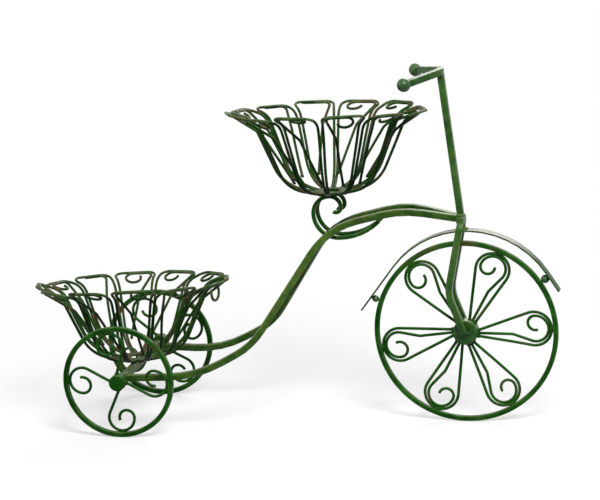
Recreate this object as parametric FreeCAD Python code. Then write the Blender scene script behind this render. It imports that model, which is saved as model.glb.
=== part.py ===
import FreeCAD, Part
import math
import os

# Three-wheeled wire plant stand, millimetres, +Z up, +X towards the front wheel.
# Square bars make the frame, round wires make the wheel ornaments and the two
# flower-shaped baskets. Welded pieces stand a weld gap apart. Heights at the front
# are rises above the crown, the top of the fender, where stem and rails are welded.

Vector = FreeCAD.Vector

# Stock
BAR = 8.0
RIM_BAR = 6.0
BRACKET_BAR = 4.5
WHEEL_WIRE = 3.3
BASKET_WIRE = 3.0
WELD_GAP = 0.2
WIRE_SIDES = 6

# Wheels
FRONT_WHEEL_RADIUS = 110.0
REAR_WHEEL_RADIUS = 67.6
WHEELBASE = 404.0
TRACK = 191.0
FRONT_HUB_DIAMETER = 30.0
FRONT_HUB_LENGTH = 16.0
HUB_EDGE_ROUND = 1.5

# Front wheel petals: a loop of wire with a scroll curled inside it
PETAL_ANGLES = (3.0, 66.0, 128.0, 192.0, 247.5, 301.0)
PETAL_END_RADIUS = 20.2
PETAL_UPPER_FOOT = 1.5
PETAL_LOWER_FOOT = 5.9
PETAL_SCROLL_FOOT = 2.2
PETAL_SCROLL_KINK_BEFORE = 27.65
PETAL_SCROLL_KINK_DROP = 5.6
PETAL_SCROLL_KINK_RADIUS = 9.0
PETAL_SCROLL_RADIUS = 15.4
PETAL_CURL_RADIUS = 9.0
PETAL_CURL_SWEEP = 195.0

# Rear wheels: journal, hub, cap and four scroll spokes
JOURNAL_DIAMETER = 6.0
JOURNAL_CLEARANCE = 0.3
JOURNAL_HEAD_DIAMETER = 9.0
JOURNAL_HEAD_THICKNESS = 2.2
REAR_HUB_DIAMETER = 19.5
REAR_HUB_LENGTH = 12.0
HUB_CAP_THICKNESS = 2.2
RUNNING_GAP = 0.4
RIGHT_SPOKE_ANGLES = (0.0, 102.0, 180.0, 274.0)
LEFT_SPOKE_ANGLES = (25.0, 112.0, 210.0, 305.0)
SPOKE_FOOT = 0.8
SPOKE_SCROLL_RADIUS = 15.6
SPOKE_SCROLL_OFFSET = 1.3
SPOKE_CURL_RADIUS = 9.5
SPOKE_CURL_SWEEP = 195.0

# Fork, stem and handlebar
STEM_SET_BACK = 2.0
STEM_LEAN = 19.0
STEM_LENGTH = 183.0
FORK_TOP_RISE = 16.0
FORK_KNEE_SET_BACK = 18.5
FORK_KNEE_RISE = 48.0
FORK_KNEE_RADIUS = 45.0
FORK_NECK_HEIGHT = 7.5
FORK_NECK_RADIUS = 10.0
HANDLEBAR_REACH = 42.0
HANDLEBAR_SPREAD = 120.0
HANDLEBAR_DROP = 8.0
HANDLEBAR_TURN = 3.0
HANDLEBAR_NOSE_RADIUS = 15.0
HANDLEBAR_BALL_DIAMETER = 16.0

# Fender
FENDER_THICKNESS = 2.0
FENDER_GAP = 1.5
FENDER_AHEAD = 4.5
FENDER_RISE = 11.5
FENDER_REAR_ANGLE = 143.0
FENDER_FRONT_ANGLE = 33.0
FENDER_REAR_TAIL = 66.0
FENDER_FRONT_TAIL = 26.0
FENDER_SPACER_REAR_ANGLE = 160.0
FENDER_SPACER_FRONT_ANGLE = 34.0

# Frame rails: the two upper corners of one rail as distance behind the stem, half
# spread and rise above the crown, the two lower ones as distance ahead of the rear
# axle, inset from the rear wheel's plane and rise above the axle
RAIL_FRONT_RISE = 14.0
RAIL_STEM_GAP = 1.2
RAIL_CREST = (69.0, 17.0, 26.0)
RAIL_SHOULDER = (160.0, 15.0, 4.0)
RAIL_FOOT = (156.0, 36.5, 36.4)
RAIL_HEEL = (88.0, 29.5, 0.0)
RAIL_REAR_INSET = 19.5
RAIL_RADII = (104.0, 90.0, 84.0, 142.0)

# Basket brackets: a C-scroll under each rail
BRACKET_SPREAD = 11.6
BRACKET_TOP_BEHIND = 156.3
BRACKET_LOW_RADIUS = 29.6
BRACKET_TAIL_RADIUS = 70.0
BRACKET_TAIL_SWEEP = 44.0
BRACKET_BACK_RADIUS = 20.5
BRACKET_FRONT_RADIUS = 13.2
BRACKET_CURL_RADIUS = 6.0
BRACKET_CURL_SWEEP = 125.0
BRACKET_LOW_DROP = 8.6

# Baskets: petals round a flat base ring, each rim tilted a little. The front neck lies
# below the stem's top, the rear one above the rear wheels, which its tips overhang
PETAL_COUNT = 12
BASE_RING_RADIUS = 20.0
BASE_RING_HOLE_RADIUS = 10.0
BASE_RING_THICKNESS = 3.0
FRONT_BASKET_TURN_ANGLE = 20.5
FRONT_BASKET_LEFT_TILT_ANGLE = 3.7
FRONT_BASKET_FORWARD_TILT_ANGLE = 0.0
REAR_BASKET_SET_BACK = 2.2
REAR_BASKET_TURN_ANGLE = 14.2
REAR_BASKET_LEFT_TILT_ANGLE = 6.0
REAR_BASKET_FORWARD_TILT_ANGLE = -1.5
BASKET_FOOT_RISE = 1.5
BASKET_BELLY = (56.5, 11.5)
BASKET_BELLY_RADIUS = 28.0
BASKET_NECK_REACH = 91.5
FRONT_NECK_BELOW_STEM = 49.5
REAR_NECK_ABOVE_WHEEL = 22.4
BASKET_NECK_RADIUS = 32.0
BASKET_TIP_REACH = 113.5
BASKET_TIP_SLOPE_ANGLE = 19.5
BASKET_CORNER_RADIUS = 9.0
SCROLL_START = (47.0, 15.0)
SCROLL_KINK_REACH = 77.0
SCROLL_KINK_DROP = 22.0
SCROLL_KINK_SHIFT = 2.0
SCROLL_KINK_RADIUS = 10.0
SCROLL_TURN_SHIFT = 22.0
SCROLL_TURN_RADIUS = 5.0
SCROLL_CURL_SHIFT = 6.0
SCROLL_CURL_RADIUS = 8.5
SCROLL_CURL_SWEEP = 290.0

LEFT = 1
RIGHT = -1
UP = Vector(0, 0, 1)
ACROSS = Vector(0, 1, 0)
AHEAD = Vector(1, 0, 0)
SIDES = {"left": LEFT, "right": RIGHT}
FRONT_AXLE = Vector(0, 0, FRONT_WHEEL_RADIUS)
REAR_AXLE = Vector(-WHEELBASE, 0, REAR_WHEEL_RADIUS)
FENDER_RADIUS = FRONT_WHEEL_RADIUS + FENDER_GAP
CROWN = FRONT_WHEEL_RADIUS + FENDER_RISE + FENDER_RADIUS + FENDER_THICKNESS / 2
BRACKET_TOP_RISE = BRACKET_LOW_RADIUS + BRACKET_BACK_RADIUS + BRACKET_BAR / 2 - BRACKET_LOW_DROP
BASKET_FOOT_LEVEL = WELD_GAP + BASKET_FOOT_RISE
FRONT_BASKET_NECK = STEM_LENGTH - FRONT_NECK_BELOW_STEM - BRACKET_TOP_RISE - BASKET_FOOT_LEVEL
REAR_BASKET_NECK = REAR_WHEEL_RADIUS + REAR_NECK_ABOVE_WHEEL - BAR / 2 - BASKET_FOOT_LEVEL


def polar(radius, angle):
    """Point of a circle round the origin in plane coordinates, angle in degrees."""
    turn = math.radians(angle)
    return (radius * math.cos(turn), radius * math.sin(turn))


def wheel_plane(centre, angle, sense=1):
    """Places plane points (outwards, sideways) on a wheel; sense -1 mirrors sideways."""
    turn = math.radians(angle)
    outwards = Vector(math.cos(turn), 0, math.sin(turn))
    sideways = Vector(-math.sin(turn), 0, math.cos(turn)) * sense
    return lambda point: centre + outwards * point[0] + sideways * point[1]


def line(start, end):
    return Part.LineSegment(start, end).toShape()


def arc(place, centre, radius, first, last):
    """Arc in a plane from the first to the last angle, in degrees."""
    angles = (first, (first + last) / 2, last)
    ends = [polar(radius, angle) for angle in angles]
    points = [place((centre[0] + x, centre[1] + y)) for x, y in ends]
    return Part.Arc(*points).toShape()


def tangent(point, centre, radius, side):
    """Angle at which the line from a point touches a circle, above (1) or below (-1)."""
    gap = math.hypot(centre[0] - point[0], centre[1] - point[1])
    heading = math.atan2(centre[1] - point[1], centre[0] - point[0])
    return math.degrees(heading + side * math.asin(radius / gap)) + side * 90


def on_circle(centre, radius, angle):
    x, y = polar(radius, angle)
    return (centre[0] + x, centre[1] + y)


def rounded(points, radii):
    """Straight runs through the points, with a tangent arc at each inner corner."""
    edges = []
    start = points[0]
    for before, corner, after, radius in zip(points, points[1:], points[2:], radii):
        back = (before - corner).normalize()
        ahead = (after - corner).normalize()
        half = back.getAngle(ahead) / 2
        reach = radius / math.tan(half)
        middle = (back + ahead).normalize() * (radius / math.sin(half) - radius)
        edges.append(line(start, corner + back * reach))
        edges.append(Part.Arc(corner + back * reach, corner + middle, corner + ahead * reach).toShape())
        start = corner + ahead * reach
    edges.append(line(start, points[-1]))
    return edges


def start_of(edges):
    """First point of a path and its direction there."""
    edge = edges[0]
    first = edge.firstVertex(True).Point
    return first, edge.tangentAt(edge.FirstParameter)


def swept(edges, flat, outline):
    """Solid along a path; the outline's points lie along flat and across it."""
    point, heading = start_of(edges)
    side = (flat - heading * flat.dot(heading)).normalize()
    rise = heading.cross(side)
    corners = [point + side * x + rise * y for x, y in outline]
    section = Part.makePolygon(corners + corners[:1])
    return Part.Wire(edges).makePipeShell([section], True, False)


def round_wire(edges, flat, diameter):
    """Wire along a path, its round section drawn with a few flat sides."""
    outline = [polar(diameter / 2, 360.0 / WIRE_SIDES * number) for number in range(WIRE_SIDES)]
    return swept(edges, flat, outline)


def flat_bar(edges, flat, width, depth):
    """Bar of rectangular section along a path, its width along flat."""
    x = width / 2
    y = depth / 2
    return swept(edges, flat, [(x, y), (-x, y), (-x, -y), (x, -y)])


def square_bar(edges, size, flat):
    return flat_bar(edges, flat, size, size)


def ring(centre, outer, inner, width):
    """Flat ring round the Y axis, centred on its width."""
    base = centre - ACROSS * (width / 2)
    return Part.makeCylinder(outer, width, base, ACROSS).cut(Part.makeCylinder(inner, width, base, ACROSS))


def front_wheel():
    """Rim, hub and six ornamental petals, all in the plane of the wheel."""
    rim_inside = FRONT_WHEEL_RADIUS - RIM_BAR
    rim = ring(FRONT_AXLE, FRONT_WHEEL_RADIUS, rim_inside, RIM_BAR)
    hub_base = FRONT_AXLE - ACROSS * (FRONT_HUB_LENGTH / 2)
    hub = Part.makeCylinder(FRONT_HUB_DIAMETER / 2, FRONT_HUB_LENGTH, hub_base, ACROSS)
    rims = [edge for edge in hub.Edges if edge.Curve.TypeId == "Part::GeomCircle"]
    pieces = {"front_wheel_rim": rim, "front_wheel_hub": hub.makeFillet(HUB_EDGE_ROUND, rims)}
    for number, angle in enumerate(PETAL_ANGLES, 1):
        pieces["front_wheel_petal_%d" % number] = wheel_petal(wheel_plane(FRONT_AXLE, angle), rim_inside)
    return pieces


def hub_foot(height, hub_radius, wire):
    """Start of a wire on the hub's side, at a height off the petal's axis."""
    reach = hub_radius + 3 * WELD_GAP
    return (math.sqrt(reach ** 2 - (abs(height) - wire / 2) ** 2), height)


def wheel_petal(place, rim_inside):
    """Teardrop loop and the scroll inside it, as two wires."""
    hub_radius = FRONT_HUB_DIAMETER / 2
    end = (rim_inside - WELD_GAP - WHEEL_WIRE / 2 - PETAL_END_RADIUS, 0)
    upper = hub_foot(PETAL_UPPER_FOOT, hub_radius, WHEEL_WIRE)
    lower = hub_foot(-PETAL_LOWER_FOOT, hub_radius, WHEEL_WIRE)
    first = tangent(upper, end, PETAL_END_RADIUS, 1)
    last = tangent(lower, end, PETAL_END_RADIUS, -1)
    loop = [
        line(place(upper), place(on_circle(end, PETAL_END_RADIUS, first))),
        arc(place, end, PETAL_END_RADIUS, first, last),
        line(place(on_circle(end, PETAL_END_RADIUS, last)), place(lower)),
    ]
    bend = PETAL_SCROLL_RADIUS
    nest = PETAL_END_RADIUS - WHEEL_WIRE - WELD_GAP - bend
    centre = (end[0] + nest, 0)
    foot = hub_foot(-PETAL_SCROLL_FOOT, hub_radius, WHEEL_WIRE)
    kink = (centre[0] - PETAL_SCROLL_KINK_BEFORE, -PETAL_SCROLL_KINK_DROP)
    touch = tangent(kink, centre, bend, -1)
    corners = [place(foot), place(kink), place(on_circle(centre, bend, touch))]
    scroll = rounded(corners, [PETAL_SCROLL_KINK_RADIUS])
    scroll.append(arc(place, centre, bend, touch, 90))
    curl = (centre[0], centre[1] + bend - PETAL_CURL_RADIUS)
    scroll.append(arc(place, curl, PETAL_CURL_RADIUS, 90, 90 + PETAL_CURL_SWEEP))
    return Part.makeCompound([round_wire(wire, ACROSS, WHEEL_WIRE) for wire in (loop, scroll)])


def fork_and_steering():
    """Stem, the two fork legs and the handlebar with its end balls."""
    pieces = {}
    leg_spread = FRONT_HUB_LENGTH / 2 + WELD_GAP + BAR / 2
    neck_spread = BAR + WELD_GAP
    stem_top = stem_point(STEM_LENGTH)
    stem_foot = stem_point(WELD_GAP + BAR / 2 * STEM_LEAN / STEM_LENGTH)
    pieces["handlebar_stem"] = square_bar([line(stem_foot, stem_top)], BAR, ACROSS)
    knee_height = FRONT_AXLE.z + FORK_KNEE_RISE
    neck_rise = FORK_TOP_RISE - FORK_NECK_HEIGHT
    shoulder_height = CROWN + neck_rise - FORK_NECK_HEIGHT
    for name, side in SIDES.items():
        foot = FRONT_AXLE + ACROSS * (side * leg_spread)
        knee = Vector(-FORK_KNEE_SET_BACK, side * leg_spread, knee_height)
        top = stem_point(FORK_TOP_RISE) + ACROSS * (side * neck_spread)
        neck = stem_point(neck_rise) + ACROSS * (side * neck_spread)
        share = (shoulder_height - knee_height) / (neck.z - knee_height)
        shoulder = Vector(knee.x + (neck.x - knee.x) * share, knee.y, shoulder_height)
        radii = [FORK_KNEE_RADIUS, FORK_NECK_RADIUS, FORK_NECK_RADIUS]
        path = rounded([foot, knee, shoulder, neck, top], radii)
        pieces["fork_leg_" + name] = square_bar(path, BAR, ACROSS)
    pieces.update(handlebar(stem_top))
    return pieces


def stem_point(rise):
    """Point on the leaning stem's axis at a rise above the crown."""
    share = (rise - RAIL_FRONT_RISE) / (STEM_LENGTH - RAIL_FRONT_RISE)
    return Vector(-STEM_SET_BACK - STEM_LEAN * share, 0, CROWN + rise)


def handlebar(stem_top):
    """Bar bent to a blunt V that opens to the rear, with a ball on each end."""
    half = HANDLEBAR_SPREAD / 2
    turn = math.atan2(half, HANDLEBAR_REACH)
    nose_gap = HANDLEBAR_NOSE_RADIUS / math.sin(turn) - HANDLEBAR_NOSE_RADIUS
    slope = HANDLEBAR_DROP / HANDLEBAR_REACH
    middle = stem_top + UP * (BAR / 2 + WELD_GAP + (nose_gap + BAR / 2) * slope)
    steer = FreeCAD.Rotation(UP, HANDLEBAR_TURN)
    nose = middle + steer.multVec(AHEAD * nose_gap)
    arms = [Vector(-HANDLEBAR_REACH, side * half, -HANDLEBAR_DROP) for side in (RIGHT, LEFT)]
    ends = [nose + steer.multVec(arm) for arm in arms]
    ball_radius = HANDLEBAR_BALL_DIAMETER / 2
    flat = math.sqrt(ball_radius ** 2 - BAR ** 2 / 2)
    flat_latitude = math.degrees(math.asin(flat / ball_radius))
    pieces = {}
    seats = []
    for name, end in zip(("right", "left"), ends):
        inwards = (nose - end).normalize()
        seats.append(end + inwards * (flat + WELD_GAP))
        pieces["handlebar_ball_" + name] = Part.makeSphere(ball_radius, end, inwards, -90, flat_latitude, 360)
    bar = rounded([seats[0], nose, seats[1]], [HANDLEBAR_NOSE_RADIUS])
    pieces["handlebar"] = square_bar(bar, BAR, UP)
    return pieces


def fender():
    """Curved strip over the front wheel, with a straight tail at each end."""
    place = wheel_plane(FRONT_AXLE + Vector(FENDER_AHEAD, 0, FENDER_RISE), 0)
    rear_end = polar(FENDER_RADIUS, FENDER_REAR_ANGLE)
    front_end = polar(FENDER_RADIUS, FENDER_FRONT_ANGLE)
    rear_tail = polar(FENDER_REAR_TAIL, FENDER_REAR_ANGLE + 90)
    front_tail = polar(FENDER_FRONT_TAIL, FENDER_FRONT_ANGLE - 90)
    outline = [
        line(place((rear_end[0] + rear_tail[0], rear_end[1] + rear_tail[1])), place(rear_end)),
        arc(place, (0, 0), FENDER_RADIUS, FENDER_REAR_ANGLE, FENDER_FRONT_ANGLE),
        line(place(front_end), place((front_end[0] + front_tail[0], front_end[1] + front_tail[1]))),
    ]
    width = FRONT_HUB_LENGTH - 2 * WELD_GAP
    return {"front_fender": flat_bar(outline, ACROSS, width, FENDER_THICKNESS)}


def fender_spacers(strip):
    """Balls between rim and fender, each as large as fits on a ray from the front axle."""
    pieces = {}
    for name, angle in (("rear", FENDER_SPACER_REAR_ANGLE), ("front", FENDER_SPACER_FRONT_ANGLE)):
        ray = wheel_plane(FRONT_AXLE, angle)
        low = 0.0
        high = FENDER_RISE
        while high - low > WELD_GAP / 10:
            radius = (low + high) / 2
            middle = ray((FRONT_WHEEL_RADIUS + WELD_GAP + radius, 0))
            room = strip.distToShape(Part.Vertex(middle))[0] - WELD_GAP
            if room > radius:
                low = radius
            else:
                high = radius
        pieces["fender_spacer_" + name] = Part.makeSphere(low, ray((FRONT_WHEEL_RADIUS + WELD_GAP + low, 0)))
    return pieces


def frame_rails():
    """Two mirrored bars from the stem back and down to the rear axle."""
    pieces = {}
    for name, side in SIDES.items():
        front = stem_point(RAIL_FRONT_RISE) + Vector(-BAR / 2 - RAIL_STEM_GAP, side * (BAR / 2 + WELD_GAP), 0)
        upper = [Vector(-behind, side * spread, CROWN + rise)
                 for behind, spread, rise in (RAIL_CREST, RAIL_SHOULDER)]
        lower = [REAR_AXLE + Vector(ahead, side * (TRACK / 2 - inset), rise)
                 for ahead, inset, rise in (RAIL_FOOT, RAIL_HEEL)]
        splay = (RAIL_HEEL[1] - RAIL_REAR_INSET) / RAIL_HEEL[0]
        rear = REAR_AXLE + Vector(BAR / 2 * (1 + splay) + WELD_GAP, side * (TRACK / 2 - RAIL_REAR_INSET), 0)
        path = rounded([front] + upper + lower + [rear], RAIL_RADII)
        pieces["frame_rail_" + name] = square_bar(path, BAR, UP)
    return pieces


def basket_brackets():
    """C-scrolls between the rails that carry the front basket."""
    pieces = {}
    low = CROWN - BRACKET_LOW_DROP
    low_turn = low + BRACKET_LOW_RADIUS
    left_edge = -BRACKET_TOP_BEHIND - BRACKET_BACK_RADIUS
    low_centre = (left_edge + BRACKET_LOW_RADIUS, low_turn)
    tail_centre = (low_centre[0], low + BRACKET_TAIL_RADIUS)
    back_centre = (-BRACKET_TOP_BEHIND, low_turn)
    front_centre = (-BRACKET_TOP_BEHIND, low_turn + BRACKET_BACK_RADIUS - BRACKET_FRONT_RADIUS)
    curl_centre = (front_centre[0] + BRACKET_FRONT_RADIUS - BRACKET_CURL_RADIUS, front_centre[1])
    for name, side in SIDES.items():
        place = wheel_plane(ACROSS * (side * BRACKET_SPREAD), 0)
        path = [
            arc(place, tail_centre, BRACKET_TAIL_RADIUS, BRACKET_TAIL_SWEEP - 90, -90),
            arc(place, low_centre, BRACKET_LOW_RADIUS, -90, -180),
            arc(place, back_centre, BRACKET_BACK_RADIUS, -180, -270),
            arc(place, front_centre, BRACKET_FRONT_RADIUS, -270, -360),
            arc(place, curl_centre, BRACKET_CURL_RADIUS, 0, -BRACKET_CURL_SWEEP),
        ]
        pieces["basket_bracket_" + name] = square_bar(path, BRACKET_BAR, ACROSS)
    return pieces


def rear_axle():
    """Square bar with a turned journal and a riveted head at each end."""
    shoulder = TRACK / 2 - REAR_HUB_LENGTH / 2 - RUNNING_GAP
    axle = Part.makeBox(BAR, 2 * shoulder, BAR, REAR_AXLE - Vector(BAR / 2, shoulder, BAR / 2))
    head_start = TRACK / 2 + REAR_HUB_LENGTH / 2 - RUNNING_GAP - JOURNAL_HEAD_THICKNESS
    for side in (LEFT, RIGHT):
        out = ACROSS * side
        neck_end = REAR_AXLE + out * shoulder
        head_end = REAR_AXLE + out * head_start
        journal = Part.makeCylinder(JOURNAL_DIAMETER / 2, head_start - shoulder, neck_end, out)
        head = Part.makeCylinder(JOURNAL_HEAD_DIAMETER / 2, JOURNAL_HEAD_THICKNESS, head_end, out)
        axle = axle.fuse(journal).fuse(head)
    return {"rear_axle": axle.removeSplitter()}


def rear_wheel(name, side, angles):
    """Rim, bored hub, hub cap and scroll spokes of one rear wheel."""
    centre = REAR_AXLE + ACROSS * (side * TRACK / 2)
    out = ACROSS * side
    rim_inside = REAR_WHEEL_RADIUS - RIM_BAR
    hub_radius = REAR_HUB_DIAMETER / 2
    inner_face = centre - out * (REAR_HUB_LENGTH / 2)
    hub = Part.makeCylinder(hub_radius, REAR_HUB_LENGTH, inner_face, out)
    bore = Part.makeCylinder(JOURNAL_DIAMETER / 2 + JOURNAL_CLEARANCE, REAR_HUB_LENGTH, inner_face, out)
    pocket_depth = JOURNAL_HEAD_THICKNESS + 2 * RUNNING_GAP
    pocket_radius = JOURNAL_HEAD_DIAMETER / 2 + RUNNING_GAP
    outer_face = inner_face + out * REAR_HUB_LENGTH
    pocket = Part.makeCylinder(pocket_radius, pocket_depth, outer_face - out * pocket_depth, out)
    cap = Part.makeCylinder(hub_radius, HUB_CAP_THICKNESS, outer_face, out)
    circles = [edge for edge in cap.Edges if edge.Curve.TypeId == "Part::GeomCircle"]
    outer_edge = [edge for edge in circles if (edge.CenterOfMass - outer_face).dot(out) > WELD_GAP]
    spokes = [spoke(wheel_plane(centre, angle, side), rim_inside, hub_radius) for angle in angles]
    return {
        "rear_%s_rim" % name: ring(centre, REAR_WHEEL_RADIUS, rim_inside, RIM_BAR),
        "rear_%s_hub" % name: hub.cut(bore).cut(pocket),
        "rear_%s_hub_cap" % name: cap.makeFillet(HUB_EDGE_ROUND, outer_edge),
        "rear_%s_spokes" % name: Part.makeCompound(spokes),
    }


def spoke(place, rim_inside, hub_radius):
    """Wire from the hub that curls over against the rim and back into a scroll."""
    foot = hub_foot(SPOKE_FOOT, hub_radius, WHEEL_WIRE)
    reach = rim_inside - WELD_GAP - WHEEL_WIRE / 2 - SPOKE_SCROLL_RADIUS
    centre = (math.sqrt(reach ** 2 - SPOKE_SCROLL_OFFSET ** 2), SPOKE_SCROLL_OFFSET)
    touch = tangent(foot, centre, SPOKE_SCROLL_RADIUS, 1)
    curl = (centre[0], centre[1] - SPOKE_SCROLL_RADIUS + SPOKE_CURL_RADIUS)
    path = [
        line(place(foot), place(on_circle(centre, SPOKE_SCROLL_RADIUS, touch))),
        arc(place, centre, SPOKE_SCROLL_RADIUS, touch, -90),
        arc(place, curl, SPOKE_CURL_RADIUS, -90, -90 - SPOKE_CURL_SWEEP),
    ]
    return round_wire(path, ACROSS, WHEEL_WIRE)


def petal_frame(axis, turn, tilt):
    """Places a point given as reach along the petal, shift sideways and height; tilt grows with height."""
    angle = math.radians(turn)
    outwards = Vector(math.cos(angle), math.sin(angle), 0)
    sideways = UP.cross(outwards)

    def place(reach, shift, height):
        flat = outwards * reach + sideways * shift
        return axis + flat + UP * (height * (1 + flat.dot(tilt)))

    return place


def basket(name, seat, neck, turn, left_tilt, forward_tilt):
    """Base ring on its seat and the petals welded round it, lower on the left and at the front."""
    axis = seat + UP * WELD_GAP
    base = Part.makeCylinder(BASE_RING_RADIUS, BASE_RING_THICKNESS, axis)
    hole = Part.makeCylinder(BASE_RING_HOLE_RADIUS, BASE_RING_THICKNESS, axis)
    pieces = {name + "_base_ring": base.cut(hole)}
    fall = Vector(math.tan(math.radians(forward_tilt)), math.tan(math.radians(left_tilt)), 0)
    tilt = fall * (-1 / neck)
    for number in range(PETAL_COUNT):
        place = petal_frame(axis + UP * BASKET_FOOT_RISE, turn + number * 360.0 / PETAL_COUNT, tilt)
        wires = [basket_loop(place, neck), basket_scroll(place, neck)]
        pieces["%s_petal_%02d" % (name, number + 1)] = Part.makeCompound(wires)
    return pieces


def leg_point(place, side, along, height):
    """Point on a petal's leg, whose plane is parallel to the border between two petals."""
    half = math.pi / PETAL_COUNT
    inset = (BASKET_WIRE + WELD_GAP) / 2
    reach = along * math.cos(half) + inset * math.sin(half)
    shift = along * math.sin(half) - inset * math.cos(half)
    return place(reach, side * shift, height)


def tip_height(reach, neck):
    """Height of the flared tip at a reach from the basket's axis, from the neck's height."""
    half = math.pi / PETAL_COUNT
    inset = (BASKET_WIRE + WELD_GAP) / 2
    neck_reach = BASKET_NECK_REACH * math.cos(half) + inset * math.sin(half)
    slope = math.tan(math.radians(BASKET_TIP_SLOPE_ANGLE)) / math.cos(half)
    return neck + (reach - neck_reach) * slope


def basket_loop(place, neck):
    """Outer wire of a petal: up one leg, across the flared tip and down the other leg."""
    half = math.pi / PETAL_COUNT
    inset = (BASKET_WIRE + WELD_GAP) / 2
    corner_along = (BASKET_TIP_REACH - inset * math.sin(half)) / math.cos(half)
    foot_slope = BASKET_BELLY[1] / (BASKET_BELLY[0] - BASE_RING_RADIUS)
    foot = BASE_RING_RADIUS + WELD_GAP + BASKET_WIRE / 2 * foot_slope
    corner = (corner_along, tip_height(BASKET_TIP_REACH, neck))
    stations = [(foot, 0.0), BASKET_BELLY, (BASKET_NECK_REACH, neck), corner]
    right = [leg_point(place, 1, *station) for station in stations]
    left = [leg_point(place, -1, *station) for station in reversed(stations)]
    radii = [BASKET_BELLY_RADIUS, BASKET_NECK_RADIUS, BASKET_CORNER_RADIUS]
    return round_wire(rounded(right + left, radii + radii[::-1]), UP, BASKET_WIRE)


def basket_scroll(place, neck):
    """Inner wire of a petal: up beside one leg, across to the far corner and back to a curl."""
    half = math.pi / PETAL_COUNT
    spacing = BASKET_WIRE + WELD_GAP
    start_along, start_height = SCROLL_START
    start_shift = start_along * math.sin(half) - 1.5 * spacing / math.cos(half)
    slope = math.atan(math.tan(math.radians(BASKET_TIP_SLOPE_ANGLE)) / math.cos(half))
    run_reach = BASKET_TIP_REACH - spacing * math.cos(slope)

    def tip(shift, inset):
        """Point of the tip's plane: sideways shift and distance inwards from the run."""
        reach = run_reach - inset * math.cos(slope)
        return place(reach, shift, tip_height(reach, neck))

    start = place(start_along * math.cos(half), start_shift, start_height)
    kink = place(SCROLL_KINK_REACH, SCROLL_KINK_SHIFT, neck - SCROLL_KINK_DROP)
    turn = tip(-SCROLL_TURN_SHIFT, 0)
    run_end = tip(SCROLL_CURL_SHIFT, 0)
    path = rounded([start, kink, turn, run_end], [SCROLL_KINK_RADIUS, SCROLL_TURN_RADIUS])
    along = (run_end - turn).normalize()
    inwards = tip(SCROLL_CURL_SHIFT, SCROLL_CURL_RADIUS) - run_end
    inwards = (inwards - along * inwards.dot(along)).normalize()
    curl_plane = lambda point: run_end + along * point[0] + inwards * point[1]
    path.append(arc(curl_plane, (0, SCROLL_CURL_RADIUS), SCROLL_CURL_RADIUS, -90, SCROLL_CURL_SWEEP - 90))
    return round_wire(path, UP, BASKET_WIRE)


def build():
    """Every named piece, in the frame of the front wheel's ground contact."""
    pieces = front_wheel()
    pieces.update(fork_and_steering())
    pieces.update(fender())
    pieces.update(fender_spacers(pieces["front_fender"]))
    pieces.update(frame_rails())
    pieces.update(basket_brackets())
    pieces.update(rear_axle())
    pieces.update(rear_wheel("right_wheel", RIGHT, RIGHT_SPOKE_ANGLES))
    pieces.update(rear_wheel("left_wheel", LEFT, LEFT_SPOKE_ANGLES))
    front_seat = Vector(-BRACKET_TOP_BEHIND, 0, CROWN + BRACKET_TOP_RISE)
    rear_seat = REAR_AXLE + UP * (BAR / 2) - AHEAD * REAR_BASKET_SET_BACK
    pieces.update(basket("front_basket", front_seat, FRONT_BASKET_NECK, FRONT_BASKET_TURN_ANGLE,
                         FRONT_BASKET_LEFT_TILT_ANGLE, FRONT_BASKET_FORWARD_TILT_ANGLE))
    pieces.update(basket("rear_basket", rear_seat, REAR_BASKET_NECK, REAR_BASKET_TURN_ANGLE,
                         REAR_BASKET_LEFT_TILT_ANGLE, REAR_BASKET_FORWARD_TILT_ANGLE))
    return pieces


def main():
    """Moves the origin under the middle of the stand and writes one file per piece."""
    pieces = build()
    box = Part.makeCompound(list(pieces.values())).optimalBoundingBox(False, False)
    to_middle = Vector(-box.Center.x, -box.Center.y, -box.ZMin)
    os.makedirs("parts", exist_ok=True)
    for name, shape in pieces.items():
        shape.translate(to_middle)
        shape.exportStep("parts/%s.step" % name)
    print("pieces", len(pieces), "size", box.XLength, box.YLength, box.ZLength)
    print("moved by", to_middle)


main()
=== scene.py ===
import math
import random

import bmesh
import bpy
from mathutils import Matrix, Vector, noise


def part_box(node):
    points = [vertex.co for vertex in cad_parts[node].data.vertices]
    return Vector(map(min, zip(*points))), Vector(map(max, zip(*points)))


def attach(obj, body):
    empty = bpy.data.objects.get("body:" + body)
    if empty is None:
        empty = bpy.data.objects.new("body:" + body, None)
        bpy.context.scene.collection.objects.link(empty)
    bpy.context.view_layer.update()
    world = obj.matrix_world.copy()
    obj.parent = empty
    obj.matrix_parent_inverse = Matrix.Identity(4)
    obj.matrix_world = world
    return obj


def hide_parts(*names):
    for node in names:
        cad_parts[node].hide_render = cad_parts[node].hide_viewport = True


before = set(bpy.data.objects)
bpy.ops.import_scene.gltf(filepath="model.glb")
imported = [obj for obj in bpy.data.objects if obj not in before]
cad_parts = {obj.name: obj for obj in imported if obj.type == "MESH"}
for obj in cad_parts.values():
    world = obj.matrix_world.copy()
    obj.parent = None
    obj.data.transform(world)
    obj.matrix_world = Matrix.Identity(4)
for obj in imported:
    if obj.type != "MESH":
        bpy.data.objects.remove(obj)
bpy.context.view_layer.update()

# Tricycle plant stand, drawn in millimetres from the front wheel's point on the
# ground and set into the frame at the end. Bars and wires are sections drawn along
# centre lines: a run is a vector, a bend is a centre, an axis and an angle.
# Angles are written in degrees. A weld bead is given as its length and its width. A
# size that strays is given as the size meant, the most under it and the most over it.

NOISE_SEED = 5
noise.seed_set(NOISE_SEED)

UP = Vector((0, 0, 1))
ACROSS = Vector((0, 1, 0))
AHEAD = Vector((1, 0, 0))
SIDES = {"left": 1, "right": -1}
OUTWARDS = (1, 0)
SIDEWAYS = (0, 1)
PER_METRE = 1000

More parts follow.
